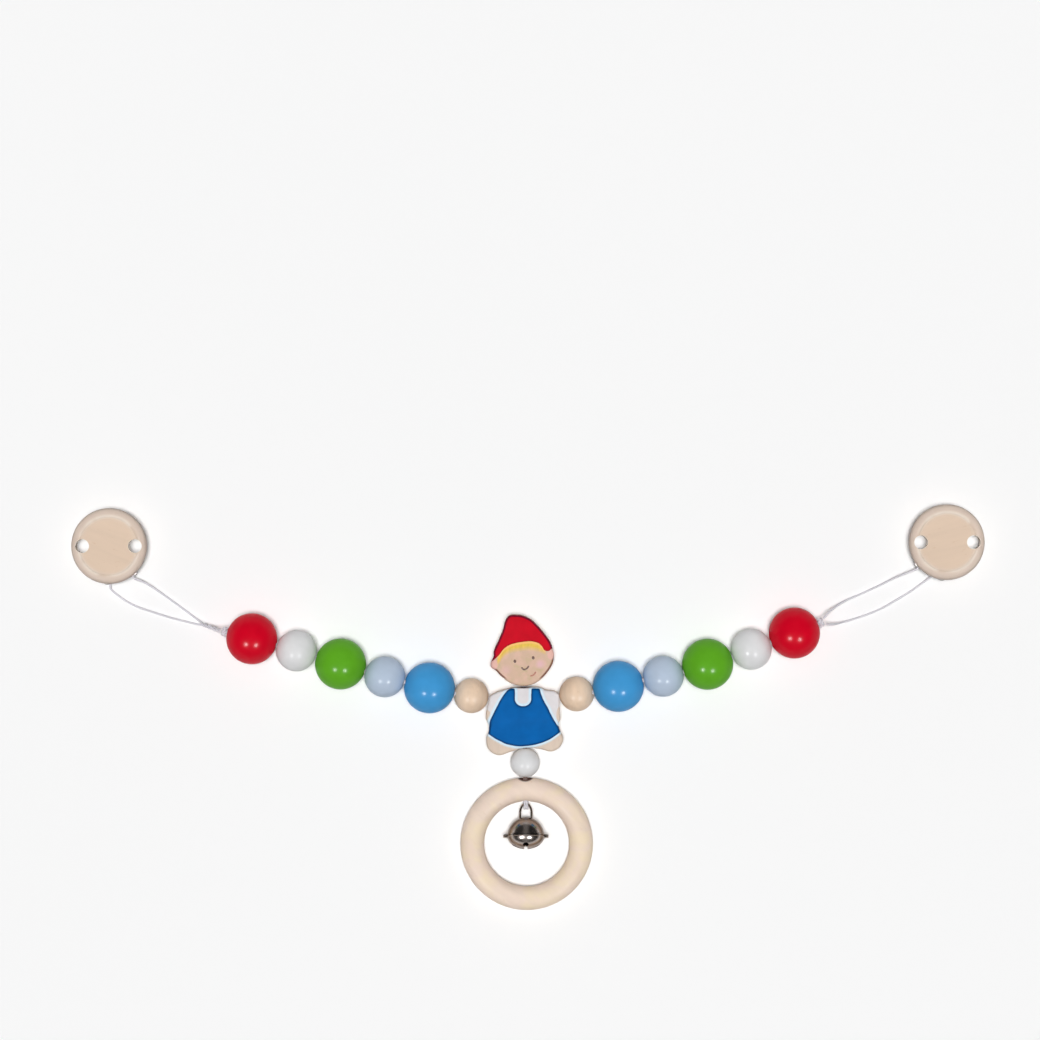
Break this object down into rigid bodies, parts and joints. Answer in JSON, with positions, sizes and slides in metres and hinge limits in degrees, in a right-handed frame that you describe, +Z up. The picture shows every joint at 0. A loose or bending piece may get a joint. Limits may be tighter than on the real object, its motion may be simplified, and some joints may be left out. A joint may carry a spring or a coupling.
{
  "type": "pram chain toy",
  "caption": "Wooden pram chain of coloured beads on a doubled cord, with a flat painted figure, a ring with a bell, and a clip on a cord loop at each end.",
  "frame": {"origin": "on the flat back of the figure, under the crossing of its two bores; the toy lies on its back on a table", "axes": "+X along the chain to the figure's left hand side of the picture's right, +Y towards the figure's hat, +Z up from the table"},
  "size_m": [0.4467, 0.1988, 0.025],
  "materials": {
    "body": "painted and lacquered",
    "cord": "matt",
    "head": "painted and lacquered",
    "natural": "oiled",
    "blue": "glossy coloured lacquer",
    "light_blue": "glossy coloured lacquer",
    "green": "glossy coloured lacquer",
    "white": "glossy coloured lacquer",
    "red": "glossy coloured lacquer",
    "disc": "bare, sanded smooth",
    "steel": "brushed",
    "plastic": "satin",
    "ring": "bare, sanded smooth",
    "nickel": "polished"
  },
  "bodies": {
    "figure": {"figure_body": "body", "chain_cord_in_body": "cord", "drop_cord_in_body": "cord"},
    "neck": {"neck_cord": "cord"},
    "head": {"figure_head": "head"},
    "left_natural_link": {"left_cord_in_natural_bead": "cord"},
    "left_natural_bead": {"left_natural_bead": "natural"},
    "left_blue_link": {"left_cord_in_blue_bead": "cord"},
    "left_blue_bead": {"left_blue_bead": "blue"},
    "left_light_blue_link": {"left_cord_in_light_blue_bead": "cord"},
    "left_light_blue_bead": {"left_light_blue_bead": "light_blue"},
    "left_green_link": {"left_cord_in_green_bead": "cord"},
    "left_green_bead": {"left_green_bead": "green"},
    "left_white_link": {"left_cord_in_white_bead": "cord"},
    "left_white_bead": {"left_white_bead": "white"},
    "left_red_link": {"left_cord_in_red_bead": "cord", "left_knot": "cord"},
    "left_red_bead": {"left_red_bead": "red"},
    "left_loop": {"left_loop_cord": "cord"},
    "left_clip": {"left_clip_disc": "disc", "left_clip_plate": "steel", "left_clip_strap_loop": "steel", "left_clip_pin": "steel", "left_clip_screw": "steel"},
    "left_lever": {"left_clip_lever": "steel", "left_clip_cam": "plastic"},
    "right_natural_link": {"right_cord_in_natural_bead": "cord"},
    "right_natural_bead": {"right_natural_bead": "natural"},
    "right_blue_link": {"right_cord_in_blue_bead": "cord"},
    "right_blue_bead": {"right_blue_bead": "blue"},
    "right_light_blue_link": {"right_cord_in_light_blue_bead": "cord"},
    "right_light_blue_bead": {"right_light_blue_bead": "light_blue"},
    "right_green_link": {"right_cord_in_green_bead": "cord"},
    "right_green_bead": {"right_green_bead": "green"},
    "right_white_link": {"right_cord_in_white_bead": "cord"},
    "right_white_bead": {"right_white_bead": "white"},
    "right_red_link": {"right_cord_in_red_bead": "cord", "right_knot": "cord"},
    "right_red_bead": {"right_red_bead": "red"},
    "right_loop": {"right_loop_cord": "cord"},
    "right_clip": {"right_clip_disc": "disc", "right_clip_plate": "steel", "right_clip_strap_loop": "steel", "right_clip_pin": "steel", "right_clip_screw": "steel"},
    "right_lever": {"right_clip_lever": "steel", "right_clip_cam": "plastic"},
    "pendant_link": {"pendant_cord": "cord"},
    "pendant_bead": {"pendant_bead": "white"},
    "ring_link": {"bell_cord": "cord"},
    "ring": {"grasping_ring": "ring"},
    "bell": {"bell_upper_shell": "nickel", "bell_lower_shell": "nickel", "bell_eye": "nickel"},
    "clapper": {"bell_clapper": "nickel"}
  },
  "joints": [
    {"name": "head_tilt", "type": "hinge", "parent": "figure", "child": "neck", "pos_m": [-0.0001, 0.00505, 0.0059], "axis": [0, 0, 1], "range_deg": [-12, 2.5]},
    {"name": "head_turn", "type": "hinge", "parent": "neck", "child": "head", "pos_m": [-0.0001, 0.00505, 0.0059], "axis": [-0.1219, 0.9925, 0], "range_deg": [-40, 40]},
    {"name": "left_natural_bend", "type": "hinge", "parent": "figure", "child": "left_natural_link", "pos_m": [-0.01814, -0.00063, 0.00785], "axis": [0, 0, -1], "range_deg": [-8, 8]},
    {"name": "left_natural_spin", "type": "hinge", "parent": "left_natural_link", "child": "left_natural_bead", "pos_m": [-0.02633, 0.00052, 0.00962], "axis": [-0.9682, 0.1361, 0.2098], "continuous": true},
    {"name": "left_blue_bend", "type": "hinge", "parent": "left_natural_link", "child": "left_blue_link", "pos_m": [-0.03452, 0.00167, 0.0114], "axis": [0, 0, -1], "range_deg": [-14.3, 4.3]},
    {"name": "left_blue_spin", "type": "hinge", "parent": "left_blue_link", "child": "left_blue_bead", "pos_m": [-0.04671, 0.00448, 0.0125], "axis": [-0.9706, 0.2241, 0.0876], "continuous": true},
    {"name": "left_light_blue_bend", "type": "hinge", "parent": "left_blue_link", "child": "left_light_blue_link", "pos_m": [-0.05889, 0.0073, 0.0136], "axis": [0, 0, -1], "range_deg": [-10.5, 6.5]},
    {"name": "left_light_blue_spin", "type": "hinge", "parent": "left_light_blue_link", "child": "left_light_blue_bead", "pos_m": [-0.06854, 0.00988, 0.01305], "axis": [-0.9645, 0.2584, -0.055], "continuous": true},
    {"name": "left_green_bend", "type": "hinge", "parent": "left_light_blue_link", "child": "left_green_link", "pos_m": [-0.07819, 0.01247, 0.0125], "axis": [0, 0, -1], "range_deg": [-13, 9]},
    {"name": "left_green_spin", "type": "hinge", "parent": "left_green_link", "child": "left_green_bead", "pos_m": [-0.0902, 0.01614, 0.0125], "axis": [-0.9563, 0.2924, 0], "continuous": true},
    {"name": "left_white_bend", "type": "hinge", "parent": "left_green_link", "child": "left_white_link", "pos_m": [-0.10221, 0.01981, 0.0125], "axis": [0, 0, -1], "range_deg": [-10, 12]},
    {"name": "left_white_spin", "type": "hinge", "parent": "left_white_link", "child": "left_white_bead", "pos_m": [-0.11182, 0.02257, 0.0125], "axis": [-0.9613, 0.2756, 0], "continuous": true},
    {"name": "left_red_bend", "type": "hinge", "parent": "left_white_link", "child": "left_red_link", "pos_m": [-0.12144, 0.02532, 0.0125], "axis": [0, 0, -1], "range_deg": [-9.5, 12.5]},
    {"name": "left_red_spin", "type": "hinge", "parent": "left_red_link", "child": "left_red_bead", "pos_m": [-0.1336, 0.02847, 0.0125], "axis": [-0.9681, 0.2504, 0], "continuous": true},
    {"name": "left_loop_swing", "type": "hinge", "parent": "left_red_link", "child": "left_loop", "pos_m": [-0.14933, 0.03254, 0.0125], "axis": [0, 0, -1], "range_deg": [-18, 8]},
    {"name": "left_clip_swing", "type": "hinge", "parent": "left_loop", "child": "left_clip", "pos_m": [-0.19825, 0.05763, 0.0046], "axis": [0.9511, 0.309, 0], "range_deg": [-100, 25]},
    {"name": "left_lever_swing", "type": "hinge", "parent": "left_clip", "child": "left_lever", "pos_m": [-0.20566, 0.08046, 0.0032], "axis": [0.9511, 0.309, 0], "range_deg": [0, 85]},
    {"name": "right_natural_bend", "type": "hinge", "parent": "figure", "child": "right_natural_link", "pos_m": [0.01704, 0.0006, 0.00785], "axis": [0, 0, 1], "range_deg": [-8, 8]},
    {"name": "right_natural_spin", "type": "hinge", "parent": "right_natural_link", "child": "right_natural_bead", "pos_m": [0.02527, 0.00139, 0.00962], "axis": [0.9732, 0.0937, 0.2098], "continuous": true},
    {"name": "right_blue_bend", "type": "hinge", "parent": "right_natural_link", "child": "right_blue_link", "pos_m": [0.03351, 0.00218, 0.0114], "axis": [0, 0, 1], "range_deg": [-17.8, 0.8]},
    {"name": "right_blue_spin", "type": "hinge", "parent": "right_blue_link", "child": "right_blue_bead", "pos_m": [0.04564, 0.00521, 0.0125], "axis": [0.9666, 0.241, 0.0876], "continuous": true},
    {"name": "right_light_blue_bend", "type": "hinge", "parent": "right_blue_link", "child": "right_light_blue_link", "pos_m": [0.05778, 0.00823, 0.0136], "axis": [0, 0, 1], "range_deg": [-5.5, 11.5]},
    {"name": "right_light_blue_spin", "type": "hinge", "parent": "right_light_blue_link", "child": "right_light_blue_bead", "pos_m": [0.06758, 0.01014, 0.01305], "axis": [0.9801, 0.1905, -0.055], "continuous": true},
    {"name": "right_green_bend", "type": "hinge", "parent": "right_light_blue_link", "child": "right_green_link", "pos_m": [0.07739, 0.01204, 0.0125], "axis": [0, 0, 1], "range_deg": [-18.5, 3.5]},
    {"name": "right_green_spin", "type": "hinge", "parent": "right_green_link", "child": "right_green_bead", "pos_m": [0.0893, 0.01603, 0.0125], "axis": [0.9483, 0.3173, 0], "continuous": true},
    {"name": "right_white_bend", "type": "hinge", "parent": "right_green_link", "child": "right_white_link", "pos_m": [0.1012, 0.02001, 0.0125], "axis": [0, 0, 1], "range_deg": [-12, 10]},
    {"name": "right_white_spin", "type": "hinge", "parent": "right_white_link", "child": "right_white_bead", "pos_m": [0.11063, 0.02335, 0.0125], "axis": [0.9426, 0.3338, 0], "continuous": true},
    {"name": "right_red_bend", "type": "hinge", "parent": "right_white_link", "child": "right_red_link", "pos_m": [0.12007, 0.02669, 0.0125], "axis": [0, 0, 1], "range_deg": [-13, 9]},
    {"name": "right_red_spin", "type": "hinge", "parent": "right_red_link", "child": "right_red_bead", "pos_m": [0.13175, 0.03129, 0.0125], "axis": [0.9304, 0.3665, 0], "continuous": true},
    {"name": "right_loop_swing", "type": "hinge", "parent": "right_red_link", "child": "right_loop", "pos_m": [0.14687, 0.03725, 0.0125], "axis": [0, 0, 1], "range_deg": [-18, 18]},
    {"name": "right_clip_swing", "type": "hinge", "parent": "right_loop", "child": "right_clip", "pos_m": [0.19816, 0.06083, 0.0046], "axis": [0.8746, -0.4848, 0], "range_deg": [-100, 25]},
    {"name": "right_lever_swing", "type": "hinge", "parent": "right_clip", "child": "right_lever", "pos_m": [0.20979, 0.08182, 0.0032], "axis": [0.8746, -0.4848, 0], "range_deg": [0, 85]},
    {"name": "pendant_swing", "type": "hinge", "parent": "figure", "child": "pendant_link", "pos_m": [-0.0001, -0.02513, 0.00741], "axis": [0, 0, 1], "range_deg": [-2, 10]},
    {"name": "pendant_bead_spin", "type": "hinge", "parent": "pendant_link", "child": "pendant_bead", "pos_m": [0.00004, -0.03229, 0.00725], "axis": [0.0192, -0.9996, -0.0219], "continuous": true},
    {"name": "ring_swing", "type": "hinge", "parent": "pendant_link", "child": "ring_link", "pos_m": [0.00017, -0.03944, 0.00709], "axis": [0, 0, 1], "range_deg": [-6, 6]},
    {"name": "ring_turn", "type": "hinge", "parent": "ring_link", "child": "ring", "pos_m": [0.00017, -0.03944, 0.00709], "axis": [0.0191, -0.9954, -0.0934], "continuous": true},
    {"name": "bell_swing", "type": "hinge", "parent": "ring_link", "child": "bell", "pos_m": [0.00043, -0.05269, 0.00585], "axis": [1, 0, 0], "range_deg": [-5, 45]},
    {"name": "clapper_slide", "type": "slide", "parent": "bell", "child": "clapper", "axis": [0, -0.2167, -0.9762], "range_m": [-0.0111, 0.0003]}
  ]
}
